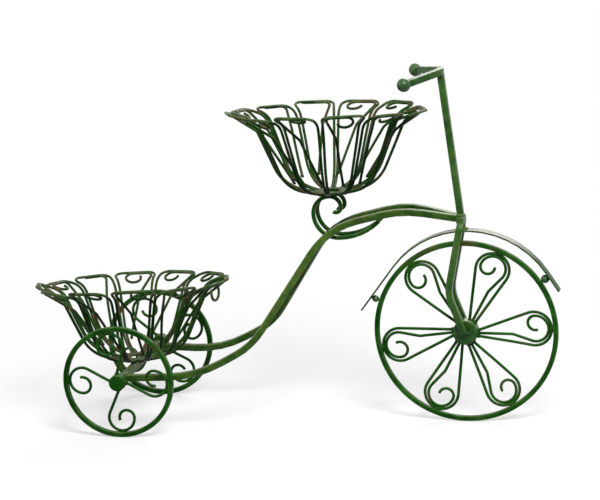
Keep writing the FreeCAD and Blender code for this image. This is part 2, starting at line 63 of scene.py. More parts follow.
# Stock
BAR = 8.0
RIM_BAR = 6.0
BRACKET_BAR = 4.5
WHEEL_WIRE = 3.3
BASKET_WIRE = 3.0
WELD_GAP = 0.2
PAINT_BUILD = 0.3
BAR_EDGE = 0.9
BRACKET_EDGE = 0.8
FENDER_EDGE = 0.55
BASE_RING_EDGE = 0.7
BAR_END_SHARE = 0.5
WIRE_END_SHARE = 0.14

# Fineness of the meshes
WIRE_SIDES = 12
RUN_STEP = 7.0
BEND_STEP = math.radians(8)
LEAST_BEND_STEPS = 2
BAR_CORNER_SEGMENTS = 3
BAR_SIDE_CUTS = 2
END_SEGMENTS = 2
RIM_STEPS = 120
BASE_RING_STEPS = 64
DISC_SIDES = 48
DISC_RIM_SEGMENTS = 4
BEAD_SUBDIVISIONS = 2
SMOOTH_UP_TO = math.radians(52)

# Unevenness: lumps of the weld beads, wander of hand-bent wires
BEAD_LUMP = 0.28
BEAD_LUMP_SCALE = 3.1
BEAD_SEED_STEP = 1.7
BEAD_X_STEP = 0.13
BEAD_Z_STEP = 0.11
NEARLY_AHEAD = 0.8
WANDER_SCALE = 0.017
WHEEL_WANDER = 0.5
BASKET_WANDER = 0.9

# Wheels
FRONT_WHEEL_RADIUS = 110.0
REAR_WHEEL_RADIUS = 67.6
WHEELBASE = 404.0
TRACK = 191.0
FRONT_HUB_DIAMETER = 30.0
FRONT_HUB_LENGTH = 16.0
FRONT_HUB_DISH = 0.5
REAR_HUB_DIAMETER = 19.5
REAR_HUB_LENGTH = 12.0
HUB_CAP_THICKNESS = 2.2
HUB_CAP_DISH = 0.25
HUB_EDGE = 1.5
HUB_EDGE_WEAR_AND_GLINT = 0.8
DISH_BRIM_SHARE = 0.28
DISH_WALL_SHARE = 0.12
FRONT_AXLE = Vector((0, 0, FRONT_WHEEL_RADIUS))
REAR_AXLE = Vector((-WHEELBASE, 0, REAR_WHEEL_RADIUS))
WIRE_FOOT_GAP = 3 * WELD_GAP
RIM_BEAD_SINK = 0.6

# Petals of the front wheel: a teardrop loop and a scroll in it
WHEEL_PETAL_ANGLES = (3.0, 66.0, 128.0, 192.0, 247.5, 301.0)
TEARDROP_RADIUS = 20.2
TEARDROP_UPPER_FOOT = 1.5
TEARDROP_LOWER_FOOT = -5.9
NEST_RADIUS = 15.4
NEST_FOOT = -2.2
NEST_KINK_BACK = 27.65
NEST_KINK_SHIFT = -5.6
NEST_KINK_RADIUS = 9.0
NEST_CURL_RADIUS = (9.0, 0.5, 0.5)
NEST_CURL_END = (285.0, 12.0, 12.0)
WHEEL_HUB_BEAD = (6.0, 5.2)
WHEEL_HUB_BEAD_SINK = 0.6
WHEEL_RIM_BEAD = (9.0, 4.6)
WHEEL_RIM_BEAD_SHIFT = (0.0, 2.0, 2.0)
NEST_BEAD = (7.0, 3.6)
NEST_BEAD_ANGLES = (8.0, 30.0)

# Scroll spokes of the rear wheels
SPOKE_ANGLES = {"right": (0.0, 102.0, 180.0, 274.0), "left": (25.0, 112.0, 210.0, 305.0)}
SPOKE_RADIUS = 15.6
SPOKE_FOOT = 0.8
SPOKE_SHIFT = 1.3
SPOKE_CURL_RADIUS = (9.5, 0.4, 0.4)
SPOKE_CURL_END = (-285.0, 12.0, 12.0)
SPOKE_HUB_BEAD = (6.0, 4.6)
SPOKE_HUB_BEAD_SINK = 0.4
SPOKE_RIM_BEAD = (10.0, 4.4)
SPOKE_RIM_BEAD_SHIFT = 1.7

# Steering: heights are rises above the crown, where fork, stem and rails meet
CROWN = 234.0
CROWN_POINT = UP * CROWN
RAIL_RISE = 14.0
STEM_TOP_RISE = 183.0
STEM_FOOT_RISE = 0.65
STEM_X_AT_RAILS = -2.0
STEM_LEAN = 19.0
STEM_SIDE_BEAD = (10.0, 4.5)
STEM_FACE_BEAD = (9.0, 5.0)
FORK_KNEE_X = -18.5
FORK_KNEE_ABOVE_AXLE = 48.0
FORK_NECK_RISE = 8.5
FORK_SHOULDER_DROP = 7.5
FORK_TOP_RISE = 16.0
FORK_BENDS = (45.0, 10.0, 10.0)
FORK_TOP_BEAD = (9.0, 5.0)
FORK_TOP_BEAD_RISE = 0.5
FORK_HUB_BEAD = (11.0, 4.0)
FORK_HUB_BEAD_DROP = 1.0
HANDLEBAR_REACH = 42.0
HANDLEBAR_HALF = 60.0
HANDLEBAR_DROP = 8.0
HANDLEBAR_NOSE_RADIUS = 26.0
HANDLEBAR_TURN = 3.0
HANDLEBAR_BEAD = (8.0, 4.0)
HANDLEBAR_BEAD_RISE = 0.3
KNOB_RADIUS = 8.0
KNOB_FINENESS = (40, 24)
KNOB_LUMP = 0.35
KNOB_LUMP_SCALE = 0.35
KNOB_BEADS = 6
KNOB_BEAD = (6.5, 4.0)
KNOB_BEAD_CIRCLE = 0.52
KNOB_BEAD_START = 12
KNOB_BEAD_SINK = 1.0

# Fender, an arc round a centre given from the front axle, and its spacer balls
FENDER_CENTRE = Vector((4.5, 0, 11.5))
FENDER_RADIUS = 111.5
FENDER_THICKNESS = 2.0
FENDER_REAR_ANGLE = 143.0
FENDER_FRONT_ANGLE = 33.0
FENDER_REAR_RUN = 66.0
FENDER_FRONT_RUN = 26.0
SPACER_ANGLES = {"rear": 160.0, "front": 34.0}
SPACER_FINENESS = (32, 20)
SPACER_LUMP = 0.2
SPACER_LUMP_SCALE = 0.5
SPACER_RIM_BEAD = (6.0, 3.4)
SPACER_FENDER_BEAD = (7.0, 3.4)

# Frame rails: x, spread to the side and rise, from the crown and from the rear axle
RAIL_STEM_GAP = 1.2
RAIL_CREST = (-69.0, 17.0, 26.0)
RAIL_SHOULDER = (-160.0, 15.0, 4.0)
RAIL_FOOT = (156.0, 59.0, 36.4)
RAIL_HEEL = (88.0, 66.0, 0.0)
RAIL_REAR_SPREAD = 76.0
RAIL_BENDS = (104.0, 90.0, 84.0, 142.0)
RAIL_FRONT_BEAD = (8.0, 5.0)
RAIL_FRONT_BEAD_SPOTS = ((2.5, 2.5, 3.5), (2.5, 2.5, -3.5), (2.5, 4.0, 0.0))
RAIL_REAR_BEAD = (9.0, 4.5)
RAIL_REAR_BEAD_SPOTS = ((0.0, 4.2, 0.0), (0.0, 0.0, 4.2), (0.0, 0.0, -4.2))

# Brackets under the front basket: a tail, a low turn, a top turn and a curl
FRONT_BASKET_X = -156.3
BRACKET_SPREAD = 11.6
BRACKET_DROP = 8.6
BRACKET_TAIL_RADIUS = 70.0
BRACKET_TAIL_ANGLE = -46.0
BRACKET_LOW_RADIUS = 29.6
BRACKET_TOP_RADIUS = 20.5
BRACKET_FRONT_RADIUS = 13.2
BRACKET_CURL_RADIUS = 6.0
BRACKET_CURL_ANGLE = -125.0
BRACKET_BEAD = (8.0, 4.0)
BRACKET_BEAD_AHEAD = 6.0
BRACKET_BEAD_OUT = 1.5

# Baskets
FRONT_BASKET_RISE = 43.75
REAR_BASKET_SET_BACK = 2.2
BASE_RING_RADIUS = 20.0
BASE_RING_HOLE = 10.0
BASE_RING_THICKNESS = 3.0
BASKET_FOOT_RISE = 1.5
PETAL_COUNT = 12
PETAL_HALF_ANGLE = math.pi / PETAL_COUNT
WIRE_SPACING = BASKET_WIRE + WELD_GAP
BELLY_REACH = 57.5
BELLY_HEIGHT = 8.5
BELLY_RADIUS = 46.0
NECK_REACH = 91.5
NECK_SPREAD = 1.2
NECK_RADIUS = 21.0
TIP_REACH = (114.5, 2.0, 2.5)
TIP_INSET = 5.3
TIP_INSET_STRAY = 1.0
TIP_SLOPE = (18.5, 5.0, 5.0)
TIP_CORNER_RADIUS = (9.5, 1.0, 1.0)
SCROLL_START_ALONG = 47.0
SCROLL_START_SPACINGS = 1.5
SCROLL_START_HEIGHT = 15.0
KINK_REACH = 79.0
KINK_SHIFT = (-5.0, 2.0, 2.0)
KINK_DROP = 17.0
KINK_RADIUS = 10.0
SCROLL_TURN_INSET = 4.0
SCROLL_TURN_RADIUS = 5.0
CURL_RADIUS = (8.8, 1.0, 0.6)
CURL_SHIFT = (5.0, 3.0, 3.0)
CURL_SWEEP = (290.0, 40.0, 20.0)
CURL_DIP = (6.0, 12.0, 16.0)
PETAL_FOOT_BEAD = (6.5, 4.4)
SCROLL_FOOT_BEAD = (6.0, 4.0)
PETAL_TIP_BEAD = (6.0, 3.4)
PETAL_TIP_BEAD_SHIFT = -6.0
TIP_WEAR_AND_GLINT_FROM = 92.0
TIP_WEAR_AND_GLINT_RUN = 20.0

# Petals knocked out of shape in use: a curl's dip out of its tip, a tip's extra reach
FOLDED_CURLS = {
    "front_basket_petal_04": -28.0,
    "front_basket_petal_05": -26.0,
    "rear_basket_petal_05": -26.0,
    "rear_basket_petal_12": 70.0,
}
DRAWN_TIPS = {
    "front_basket_petal_06": 3.0,
    "front_basket_petal_07": 5.0,
    "rear_basket_petal_07": 2.5,
}

# Finish of the CAD axle and hubs, in metres
FACET_WELD_REACH = 0.00001
AXLE_EDGE = 0.0006
AXLE_EDGE_SEGMENTS = 2
AXLE_EDGE_ANGLE = math.radians(50)

# Enamel: patches of noise per metre, and where each layer fades in and how it covers
DRIFT_SCALE = 13.0
BRUSH_SCALE = 41.0
MOTTLE_SCALE = 95.0
GRAIN_SCALE = 620.0
GRAIN_DETAIL = 2.0
TONE_AND_SHADE_FADE = (0.26, 0.74)
BRUSH_FADE = (0.80, 1.02)
BRUSH_COVER = 0.75
THIN_AND_GLINT_FADE = (0.78, 1.05)
THIN_AND_GLINT_COVER = 0.3
SHEEN_FADE = (0.8, 1.2)
RUST_FADE = (0.78, 0.86)
RUST_REACH = 0.4
RUST_COVER = 0.8
THIN_AND_GLINT_GREEN = (122, 140, 92)
# Pale grey of the painted sheen on tops
SHEEN_GREY = (168, 156, 152)
RUST_BROWN = (92, 58, 40)
BUMP_STRENGTH = 0.35
BUMP_DEPTH = 0.0006

# Studio, in metres
WHITE = (1, 1, 1, 1)
FLOOR_CHALK = (0.5, 0.5, 0.5, 1)
FLOOR_RADIUS = 14.0
FLOOR_SIDES = 64
FLOOR_GLOW = 0.5
FLOOR_FADE = (0.35, 1.1)
FAR_FLOOR_LIGHT = 0.2
ROOM_LIGHT = 0.16
LAMP_AIM = Vector((0, 0, 0.2))

# Camera at the photograph's viewing angle
CAMERA_AZIMUTH = math.radians(12.6)
CAMERA_ELEVATION = math.radians(12.16)
CAMERA_ROLL = math.radians(-2.47)
CAMERA_TARGET = Vector((-197.42, 0, 207.99))
CAMERA_DISTANCE = 3022.05
CAMERA_LENS = 151.72
CAMERA_SENSOR = 36.0
CAMERA_CLIP_END = 100


def middle_of(node):
    low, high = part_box(node)
    return (Vector(low) + Vector(high)) / 2


TO_FRAME = (Matrix.Translation(middle_of("front_wheel_rim"))
            @ Matrix.Scale(1 / PER_METRE, 4) @ Matrix.Translation(-FRONT_AXLE))


class Tone:
    """A value or colour on its way through a paint's nodes."""

    def __init__(self, tree, socket=None):
        self.tree = tree
        self.socket = socket

    def node(self, kind, settings, sockets, out=0):
        """Adds a node: settings, then its sockets' values or links; gives one output."""
        node = self.tree.nodes.new(kind)
        for name, value in settings.items():
            setattr(node, name, value)
        for name, value in sockets.items():
            if isinstance(value, Tone):
                self.tree.links.new(value.socket, node.inputs[name])
            else:
                node.inputs[name].default_value = value
        return Tone(self.tree, node.outputs[out] if node.outputs else None)

    def maths(self, operation, first, second):
        return self.node("ShaderNodeMath", {"operation": operation}, {0: first, 1: second})

    def __add__(self, other):
        return self.maths("ADD", self, other)

    def __radd__(self, other):
        return self.maths("ADD", other, self)

    def __sub__(self, other):
        return self.maths("SUBTRACT", self, other)

    def __rsub__(self, other):
        return self.maths("SUBTRACT", other, self)

    def __mul__(self, other):
        return self.maths("MULTIPLY", self, other)

    def __rmul__(self, other):
        return self.maths("MULTIPLY", other, self)

    def most(self, other):
        return self.maths("MAXIMUM", self, other)

    def clouds(self, scale, detail=3.0):
        """Noise of a given scale per metre on these coordinates."""
        sockets = {"Vector": self, "Scale": scale, "Detail": detail}
        return self.node("ShaderNodeTexNoise", {}, sockets, "Fac")

    def between(self, low, high):
        """Rises smoothly from 0 to 1 as the value goes from low to high."""
        sockets = {"Value": self, "From Min": low, "From Max": high}
        return self.node("ShaderNodeMapRange", {"interpolation_type": "SMOOTHSTEP"}, sockets)

    def over(self, under, colour):
        """Lays a colour over another one where this mask is 1."""
        factor, first, second, result = 0, 6, 7, 2
        sockets = {factor: self, first: under, second: colour}
        return self.node("ShaderNodeMix", {"data_type": "RGBA"}, sockets, result)


def linear(share):
    """A screen's share of a colour, 0 to 1, in the renderer's own measure."""
    return share / 12.92 if share < 0.04045 else ((share + 0.055) / 1.055) ** 2.4


def rgb(red, green, blue):
    """Colour as it looks on a screen, 0 to 255."""
    return tuple(linear(value / 255) for value in (red, green, blue)) + (1,)


def new_paint(name):
    paint = bpy.data.materials.new(name)
    paint.use_nodes = True
    paint.node_tree.nodes.clear()
    return paint, Tone(paint.node_tree)


def enamel(name, fresh_and_lit, shaded, brushed, rust_share, sheen_share, gloss):
    """Cloudy green on iron, with painted shade on undersides, a pale painted sheen on tops, brown
    brushing, thin pale edges that are partly a painted highlight, and rust.
    """
    paint, start = new_paint(name)
    place = start.node("ShaderNodeTexCoord", {}, {}, "Object")
    edge = start.node("ShaderNodeAttribute", {"attribute_name": "edge"}, {}, "Fac")
    facing = start.node("ShaderNodeNewGeometry", {}, {}, "Normal")
    upward = start.node("ShaderNodeSeparateXYZ", {}, {0: facing}, "Z")
    drift = place.clouds(DRIFT_SCALE)
    brush = place.clouds(BRUSH_SCALE)
    mottle = place.clouds(MOTTLE_SCALE)
    grain = place.clouds(GRAIN_SCALE, GRAIN_DETAIL)
    # Painted shade: faces turned up lean to the lit colour and undersides to the dark shaded one;
    # drift and mottle add random tone.
    tone_and_painted_shade = (drift * 0.55 + mottle * 0.4 + upward * 0.2).between(*TONE_AND_SHADE_FADE)
    colour = tone_and_painted_shade.over(shaded, fresh_and_lit)
    brush_fade = (limit - rust_share for limit in BRUSH_FADE)
    brushing = (drift * 0.5 + brush * 0.8 + upward * 0.07).between(*brush_fade)
    colour = (brushing * BRUSH_COVER).over(colour, brushed)
    # Thin paint on marked edges and tips, paler there; partly a painted highlight along the edges.
    thin_paint_and_glint = (edge * 0.55 + mottle * 0.5 + grain * 0.25).between(*THIN_AND_GLINT_FADE)
    colour = (thin_paint_and_glint * THIN_AND_GLINT_COVER).over(colour, rgb(*THIN_AND_GLINT_GREEN))
    # Painted sheen: a pale grey on faces turned up, standing in for the reflection of the bright
    # room on tops.
    painted_sheen = (upward + mottle * 0.5).between(*SHEEN_FADE) * sheen_share
    colour = painted_sheen.over(colour, rgb(*SHEEN_GREY))
    rust_fade = (limit - rust_share * RUST_REACH for limit in RUST_FADE)
    rust = (mottle * 0.8 + grain * 0.45 + edge * 0.08 - drift * 0.25).between(*rust_fade)
    colour = (rust * RUST_COVER).over(colour, rgb(*RUST_BROWN))
    rough = 0.22 + mottle * 0.16 + brushing * 0.12 + rust * 0.3
    relief = grain * 0.35 + mottle * 0.8 - rust * 0.5
    bump = start.node("ShaderNodeBump", {}, {
        "Strength": BUMP_STRENGTH, "Distance": BUMP_DEPTH, "Height": relief})
    skin = start.node("ShaderNodeBsdfPrincipled", {}, {
        "Base Color": colour, "Roughness": rough, "Normal": bump, "Specular IOR Level": gloss})
    start.node("ShaderNodeOutputMaterial", {}, {"Surface": skin})
    return paint


def strays(hand, size, under, over):
    """A size as it comes out when bent by hand."""
    return size + hand.uniform(-under, over)


def polar(radius, angle):
    turn = math.radians(angle)
    return (radius * math.cos(turn), radius * math.sin(turn))


def on_circle(centre, radius, angle):
    x, y = polar(radius, angle)
    return (centre[0] + x, centre[1] + y)


def tangent(point, centre, radius, side):
    """Angle at which the line from a point touches a circle, above (1) or below (-1)."""
    gap = math.hypot(centre[0] - point[0], centre[1] - point[1])
    heading = math.atan2(centre[1] - point[1], centre[0] - point[0])
    return math.degrees(heading + side * math.asin(radius / gap)) + side * 90


def on_side(origin, side, spot):
    """A place beside an origin, given as x, spread to the side and rise."""
    x, spread, rise = spot
    return origin + Vector((x, side * spread, rise))


def wheel_plane(centre, angle, sense=1):
    """Places plane points (outwards, sideways) on a wheel; sense -1 mirrors sideways."""
    turn = math.radians(angle)
    outwards = Vector((math.cos(turn), 0, math.sin(turn)))
    sideways = Vector((-math.sin(turn), 0, math.cos(turn))) * sense
    return lambda point: centre + outwards * point[0] + sideways * point[1]


def direction(place, way):
    """Direction of a plane's own way, OUTWARDS or SIDEWAYS."""
    return place(way) - place((0, 0))


def bend(place, centre, first, last):
    """Bend in a plane round a centre, from the first to the last angle."""
    axis = direction(place, OUTWARDS).cross(direction(place, SIDEWAYS))
    return (place(centre), axis.normalized(), math.radians(last - first))


def rounded(points, radii):
    """Runs through the points, with a bend at each inner corner."""
    steps = []
    start = points[0]
    for before, corner, after, radius in zip(points, points[1:], points[2:], radii):
        back = (before - corner).normalized()
        ahead = (after - corner).normalized()
        half = back.angle(ahead) / 2
        reach = radius / math.tan(half)
        centre = corner + (back + ahead).normalized() * (radius / math.sin(half))
        steps.append(corner + back * reach - start)
        steps.append((centre, ahead.cross(back).normalized(), math.pi - 2 * half))
        start = corner + ahead * reach
    steps.append(points[-1] - start)
    return steps


def first_heading(start, steps):
    """Direction in which a centre line sets off."""
    step = steps[0]
    if isinstance(step, Vector):
        return step.normalized()
    centre, axis, angle = step
    return axis.cross(start - centre).normalized() * math.copysign(1, angle)


def seat(point, heading, flat):
    """Plane across a heading, with its first axis along flat."""
    side = (flat - heading * flat.dot(heading)).normalized()
    turn = Matrix((side, heading.cross(side), heading)).transposed()
    return Matrix.Translation(point) @ turn.to_4x4()


def new_skin():
    skin = bmesh.new()
    skin.verts.layers.float.new("edge")
    return skin


def once(items):
    """Each item once, in the order met, so that every run gives the same mesh."""
    return list(dict.fromkeys(items))


def edges_at(verts):
    return once(edge for vert in verts for edge in vert.link_edges)


def verts_on(edges):
    return once(vert for edge in edges for vert in edge.verts)


def edges_of(geometry):
    return [item for item in geometry if isinstance(item, bmesh.types.BMEdge)]


def verts_of(geometry):
    return [item for item in geometry if isinstance(item, bmesh.types.BMVert)]


def round_section(skin, diameter, place):
    made = bmesh.ops.create_circle(
        skin, cap_ends=True, segments=WIRE_SIDES, radius=diameter / 2, matrix=place)
    return edges_at(made["verts"])


def bar_section(skin, width, depth, corner, place):
    """Rectangle with rounded corners, which are marked as the bar's edges."""
    edge_mark = skin.verts.layers.float["edge"]
    known = set(skin.verts)
    size = place @ Matrix.Diagonal((width, depth, 1, 1))
    made = bmesh.ops.create_grid(skin, x_segments=1, y_segments=1, size=0.5, matrix=size)
    bmesh.ops.bevel(
        skin, geom=made["verts"], offset=corner, offset_type="OFFSET",
        segments=BAR_CORNER_SEGMENTS, profile=0.5, affect="VERTICES", material=-1)
    verts = [vert for vert in skin.verts if vert not in known]
    for vert in verts:
        vert[edge_mark] = 1.0
    sides = [edge for edge in edges_at(verts) if edge.calc_length() > corner]
    cut = bmesh.ops.subdivide_edges(skin, edges=sides, cuts=BAR_SIDE_CUTS)
    for vert in verts_of(cut["geom_inner"]):
        vert[edge_mark] = 0.0
    return edges_at(vert for vert in skin.verts if vert not in known)


def draw_along(skin, loop, steps, end_round):
    """Draws a closed section along a centre line and rounds both cut ends."""
    first = loop
    for step in steps:
        if isinstance(step, Vector):
            count = max(1, round(step.length / RUN_STEP))
            for _ in range(count):
                grown = bmesh.ops.extrude_edge_only(skin, edges=loop)["geom"]
                bmesh.ops.translate(skin, verts=verts_of(grown), vec=step / count)
                loop = edges_of(grown)
        else:
            centre, axis, angle = step
            count = max(LEAST_BEND_STEPS, round(abs(angle) / BEND_STEP))
            grown = bmesh.ops.spin(
                skin, geom=verts_on(loop) + loop, cent=centre, axis=axis, angle=angle, steps=count)
            loop = edges_of(grown["geom_last"])
    bmesh.ops.edgeloop_fill(skin, edges=loop)
    bmesh.ops.bevel(
        skin, geom=first + loop, offset=end_round, offset_type="OFFSET",
        segments=END_SEGMENTS, profile=0.5, affect="EDGES", material=-1)


def draw_ring(skin, loop, centre, axis, steps):
    """Draws a closed section once round an axis."""
    bmesh.ops.delete(skin, geom=list(skin.faces), context="FACES_ONLY")
    bmesh.ops.spin(
        skin, geom=verts_on(loop) + loop, cent=centre, axis=axis, angle=2 * math.pi,
        steps=steps, use_merge=True)


def wire(skin, start, steps, flat, diameter):
    place = seat(start, first_heading(start, steps), flat)
    loop = round_section(skin, diameter + PAINT_BUILD, place)
    draw_along(skin, loop, steps, diameter * WIRE_END_SHARE)


def bar(skin, start, steps, flat, width, depth, corner=BAR_EDGE):
    place = seat(start, first_heading(start, steps), flat)
    loop = bar_section(skin, width, depth, corner, place)
    draw_along(skin, loop, steps, corner * BAR_END_SHARE)


def bead(skin, point, along, size, seed):
    """Lumpy weld bead, longer along one direction."""
    length, width = size
    shift = Vector((seed * BEAD_SEED_STEP, point.x * BEAD_X_STEP, point.z * BEAD_Z_STEP))
    made = bmesh.ops.create_icosphere(skin, subdivisions=BEAD_SUBDIVISIONS, radius=0.5)
    for vert in made["verts"]:
        vert.co *= 1 + BEAD_LUMP * noise.noise(vert.co * BEAD_LUMP_SCALE + shift)
    heading = along.normalized()
    place = seat(point, heading, AHEAD if abs(heading.x) < NEARLY_AHEAD else UP)
    stretch = Matrix.Diagonal((width, width, length, 1))
    bmesh.ops.transform(skin, matrix=place @ stretch, verts=made["verts"])


def ball(skin, place, radius, fineness, lump, lump_scale):
    """Ball a little uneven under its paint."""
    around, along = fineness
    centre = place.translation
    made = bmesh.ops.create_uvsphere(
        skin, u_segments=around, v_segments=along, radius=radius, matrix=place)
    for vert in made["verts"]:
        out = (vert.co - centre).normalized()
        vert.co += out * lump * noise.noise(vert.co * lump_scale)


def disc(skin, centre, out, radius, thickness, dish, both=False):
    """Turned disc from its inner face outwards; its outer face, or both, dished and rounded."""
    edge_mark = skin.verts.layers.float["edge"]
    made = bmesh.ops.create_cone(
        skin, cap_ends=True, segments=DISC_SIDES, radius1=radius, radius2=radius,
        depth=thickness, matrix=seat(centre + out * (thickness / 2), out, UP))
    faces = once(face for vert in made["verts"] for face in vert.link_faces)
    ends = [face for face in faces if len(face.verts) > 4]
    outer = max(ends, key=lambda face: face.calc_center_median().dot(out))
    shown = ends if both else [outer]
    rims = [edge for face in shown for edge in face.edges]
    for face in shown:
        brim = radius * DISH_BRIM_SHARE
        wall = radius * DISH_WALL_SHARE
        bmesh.ops.inset_region(skin, faces=[face], thickness=brim, depth=0)
        bmesh.ops.inset_region(skin, faces=[face], thickness=wall, depth=-dish)
    rounded_rims = bmesh.ops.bevel(
        skin, geom=rims, offset=HUB_EDGE, offset_type="OFFSET",
        segments=DISC_RIM_SEGMENTS, profile=0.5, affect="EDGES", material=-1)
    # Rounded rims are marked as edges: thin paint with a painted highlight, and rust.
    for vert in rounded_rims["verts"]:
        vert[edge_mark] = HUB_EDGE_WEAR_AND_GLINT


def hand_bent(skin, amount):
    """Lets wires wander a little, as bent by hand; neighbours wander together."""
    for vert in skin.verts:
        vert.co += noise.noise_vector(vert.co * WANDER_SCALE) * amount


def finish_piece(name, skin, body, slot, paint, *nodes):
    """Sets a skin into the frame as one piece that rides on a body and stands for CAD nodes."""
    bmesh.ops.transform(skin, matrix=TO_FRAME, verts=skin.verts)
    bmesh.ops.recalc_face_normals(skin, faces=skin.faces)
    for face in skin.faces:
        face.smooth = True
    mesh = bpy.data.meshes.new(name)
    skin.to_mesh(mesh)
    skin.free()
    mesh.set_sharp_from_angle(angle=SMOOTH_UP_TO)
    mesh.materials.append(paint)
    piece = bpy.data.objects.new(name, mesh)
    bpy.context.collection.objects.link(piece)
    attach(piece, body)
    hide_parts(*nodes)


def hub_foot(height, hub_radius):
    """Start of a wire on the hub's side, at a height off the petal's axis."""
    reach = hub_radius + WIRE_FOOT_GAP
    return (math.sqrt(reach ** 2 - (abs(height) - WHEEL_WIRE / 2) ** 2), height)


def rim(name, centre, radius, body, paint):
    """Square bar bent to a closed ring."""
    skin = new_skin()
    place = seat(centre + UP * (radius - RIM_BAR / 2), AHEAD, ACROSS)
    loop = bar_section(skin, RIM_BAR, RIM_BAR, BAR_EDGE, place)
    draw_ring(skin, loop, centre, ACROSS, RIM_STEPS)
    finish_piece(name + "_bar", skin, body, "wheel_paint", paint, name)


def front_wheel_petal(skin, place, hand):
    """Teardrop loop, the scroll nested in it and the beads that hold them."""
    hub_radius = FRONT_HUB_DIAMETER / 2
    rim_inside = FRONT_WHEEL_RADIUS - RIM_BAR
    curl_radius = strays(hand, *NEST_CURL_RADIUS)
    end = (rim_inside - WELD_GAP - WHEEL_WIRE / 2 - TEARDROP_RADIUS, 0)
    upper = hub_foot(TEARDROP_UPPER_FOOT, hub_radius)
    lower = hub_foot(TEARDROP_LOWER_FOOT, hub_radius)
    first = tangent(upper, end, TEARDROP_RADIUS, 1)
    last = tangent(lower, end, TEARDROP_RADIUS, -1)
    top = on_circle(end, TEARDROP_RADIUS, first)
    under = on_circle(end, TEARDROP_RADIUS, last)
    wire(skin, place(upper), [
        place(top) - place(upper),
        bend(place, end, first, last),
        place(lower) - place(under),
    ], ACROSS, WHEEL_WIRE)

    centre = (end[0] + TEARDROP_RADIUS - WHEEL_WIRE - WELD_GAP - NEST_RADIUS, 0)
    foot = hub_foot(NEST_FOOT, hub_radius)
    kink = (centre[0] - NEST_KINK_BACK, NEST_KINK_SHIFT)
    touch = tangent(kink, centre, NEST_RADIUS, -1)
    corners = [place(foot), place(kink), place(on_circle(centre, NEST_RADIUS, touch))]
    curl = (centre[0], centre[1] + NEST_RADIUS - curl_radius)
    steps = rounded(corners, [NEST_KINK_RADIUS])
    steps.append(bend(place, centre, touch, 90))
    steps.append(bend(place, curl, 90, strays(hand, *NEST_CURL_END)))
    wire(skin, place(foot), steps, ACROSS, WHEEL_WIRE)

    outwards = direction(place, OUTWARDS)
    sideways = direction(place, SIDEWAYS)
    for seed, point in enumerate((upper, lower, foot)):
        sunk = place((point[0] - WHEEL_HUB_BEAD_SINK, point[1]))
        bead(skin, sunk, outwards, WHEEL_HUB_BEAD, seed)
    tip = (rim_inside - RIM_BEAD_SINK, strays(hand, *WHEEL_RIM_BEAD_SHIFT))
    bead(skin, place(tip), sideways, WHEEL_RIM_BEAD, seed=5)
    inside = TEARDROP_RADIUS - WHEEL_WIRE / 2
    nest = on_circle(end, inside, hand.uniform(*NEST_BEAD_ANGLES))
    bead(skin, place(nest), sideways, NEST_BEAD, seed=6)


def front_wheel(paint, hub_paint):
    rim("front_wheel_rim", FRONT_AXLE, FRONT_WHEEL_RADIUS, "frame", paint)
    hub = new_skin()
    face = FRONT_AXLE - ACROSS * (FRONT_HUB_LENGTH / 2)
    disc(hub, face, ACROSS, FRONT_HUB_DIAMETER / 2, FRONT_HUB_LENGTH, FRONT_HUB_DISH, both=True)
    finish_piece("front_wheel_hub_disc", hub, "frame", "wheel_paint", hub_paint, "front_wheel_hub")
    for number, angle in enumerate(WHEEL_PETAL_ANGLES, 1):
        name = "front_wheel_petal_%d" % number
        skin = new_skin()
        front_wheel_petal(skin, wheel_plane(FRONT_AXLE, angle), random.Random(name))
        hand_bent(skin, WHEEL_WANDER)
        finish_piece(name + "_wires", skin, "frame", "wheel_paint", paint, name)


def stem_point(rise):
    """Point on the leaning stem's axis at a rise above the crown."""
    share = (rise - RAIL_RISE) / (STEM_TOP_RISE - RAIL_RISE)
    return Vector((STEM_X_AT_RAILS - STEM_LEAN * share, 0, CROWN + rise))


def stem(paint):
    """Upright bar, welded on all four sides where it stands on the fork."""
    skin = new_skin()
    foot = stem_point(STEM_FOOT_RISE)
    bar(skin, foot, [stem_point(STEM_TOP_RISE) - foot], ACROSS, BAR, BAR)
    for side in SIDES.values():
        bead(skin, foot + ACROSS * (side * BAR / 2), AHEAD, STEM_SIDE_BEAD, seed=side)
    bead(skin, foot + AHEAD * (BAR / 2), ACROSS, STEM_FACE_BEAD, seed=3)
    bead(skin, foot - AHEAD * (BAR / 2), ACROSS, STEM_FACE_BEAD, seed=4)
    finish_piece("handlebar_stem_bar", skin, "frame", "frame_paint", paint, "handlebar_stem")


def fork(paint):
    """Two bent legs from the hub's faces to the stem's sides."""
    leg_spread = FRONT_HUB_LENGTH / 2 + WELD_GAP + BAR / 2
    neck_spread = BAR + WELD_GAP
    for name, side in SIDES.items():
        axle = FRONT_AXLE + ACROSS * (side * leg_spread)
        knee = Vector((FORK_KNEE_X, side * leg_spread, FRONT_AXLE.z + FORK_KNEE_ABOVE_AXLE))
        top = stem_point(FORK_TOP_RISE) + ACROSS * (side * neck_spread)
        neck = stem_point(FORK_NECK_RISE) + ACROSS * (side * neck_spread)
        shoulder_height = CROWN + FORK_NECK_RISE - FORK_SHOULDER_DROP
        share = (shoulder_height - knee.z) / (neck.z - knee.z)
        shoulder = Vector((knee.x + (neck.x - knee.x) * share, knee.y, shoulder_height))
        skin = new_skin()
        steps = rounded([axle, knee, shoulder, neck, top], FORK_BENDS)
        bar(skin, axle, steps, ACROSS, BAR, BAR)
        inner_face = ACROSS * (side * BAR / 2)
        bead(skin, top - inner_face + UP * FORK_TOP_BEAD_RISE, AHEAD, FORK_TOP_BEAD, seed=side)
        bead(skin, axle - inner_face - UP * FORK_HUB_BEAD_DROP, AHEAD, FORK_HUB_BEAD, seed=side + 4)
        node = "fork_leg_" + name
        finish_piece(node + "_bar", skin, "frame", "frame_paint", paint, node)


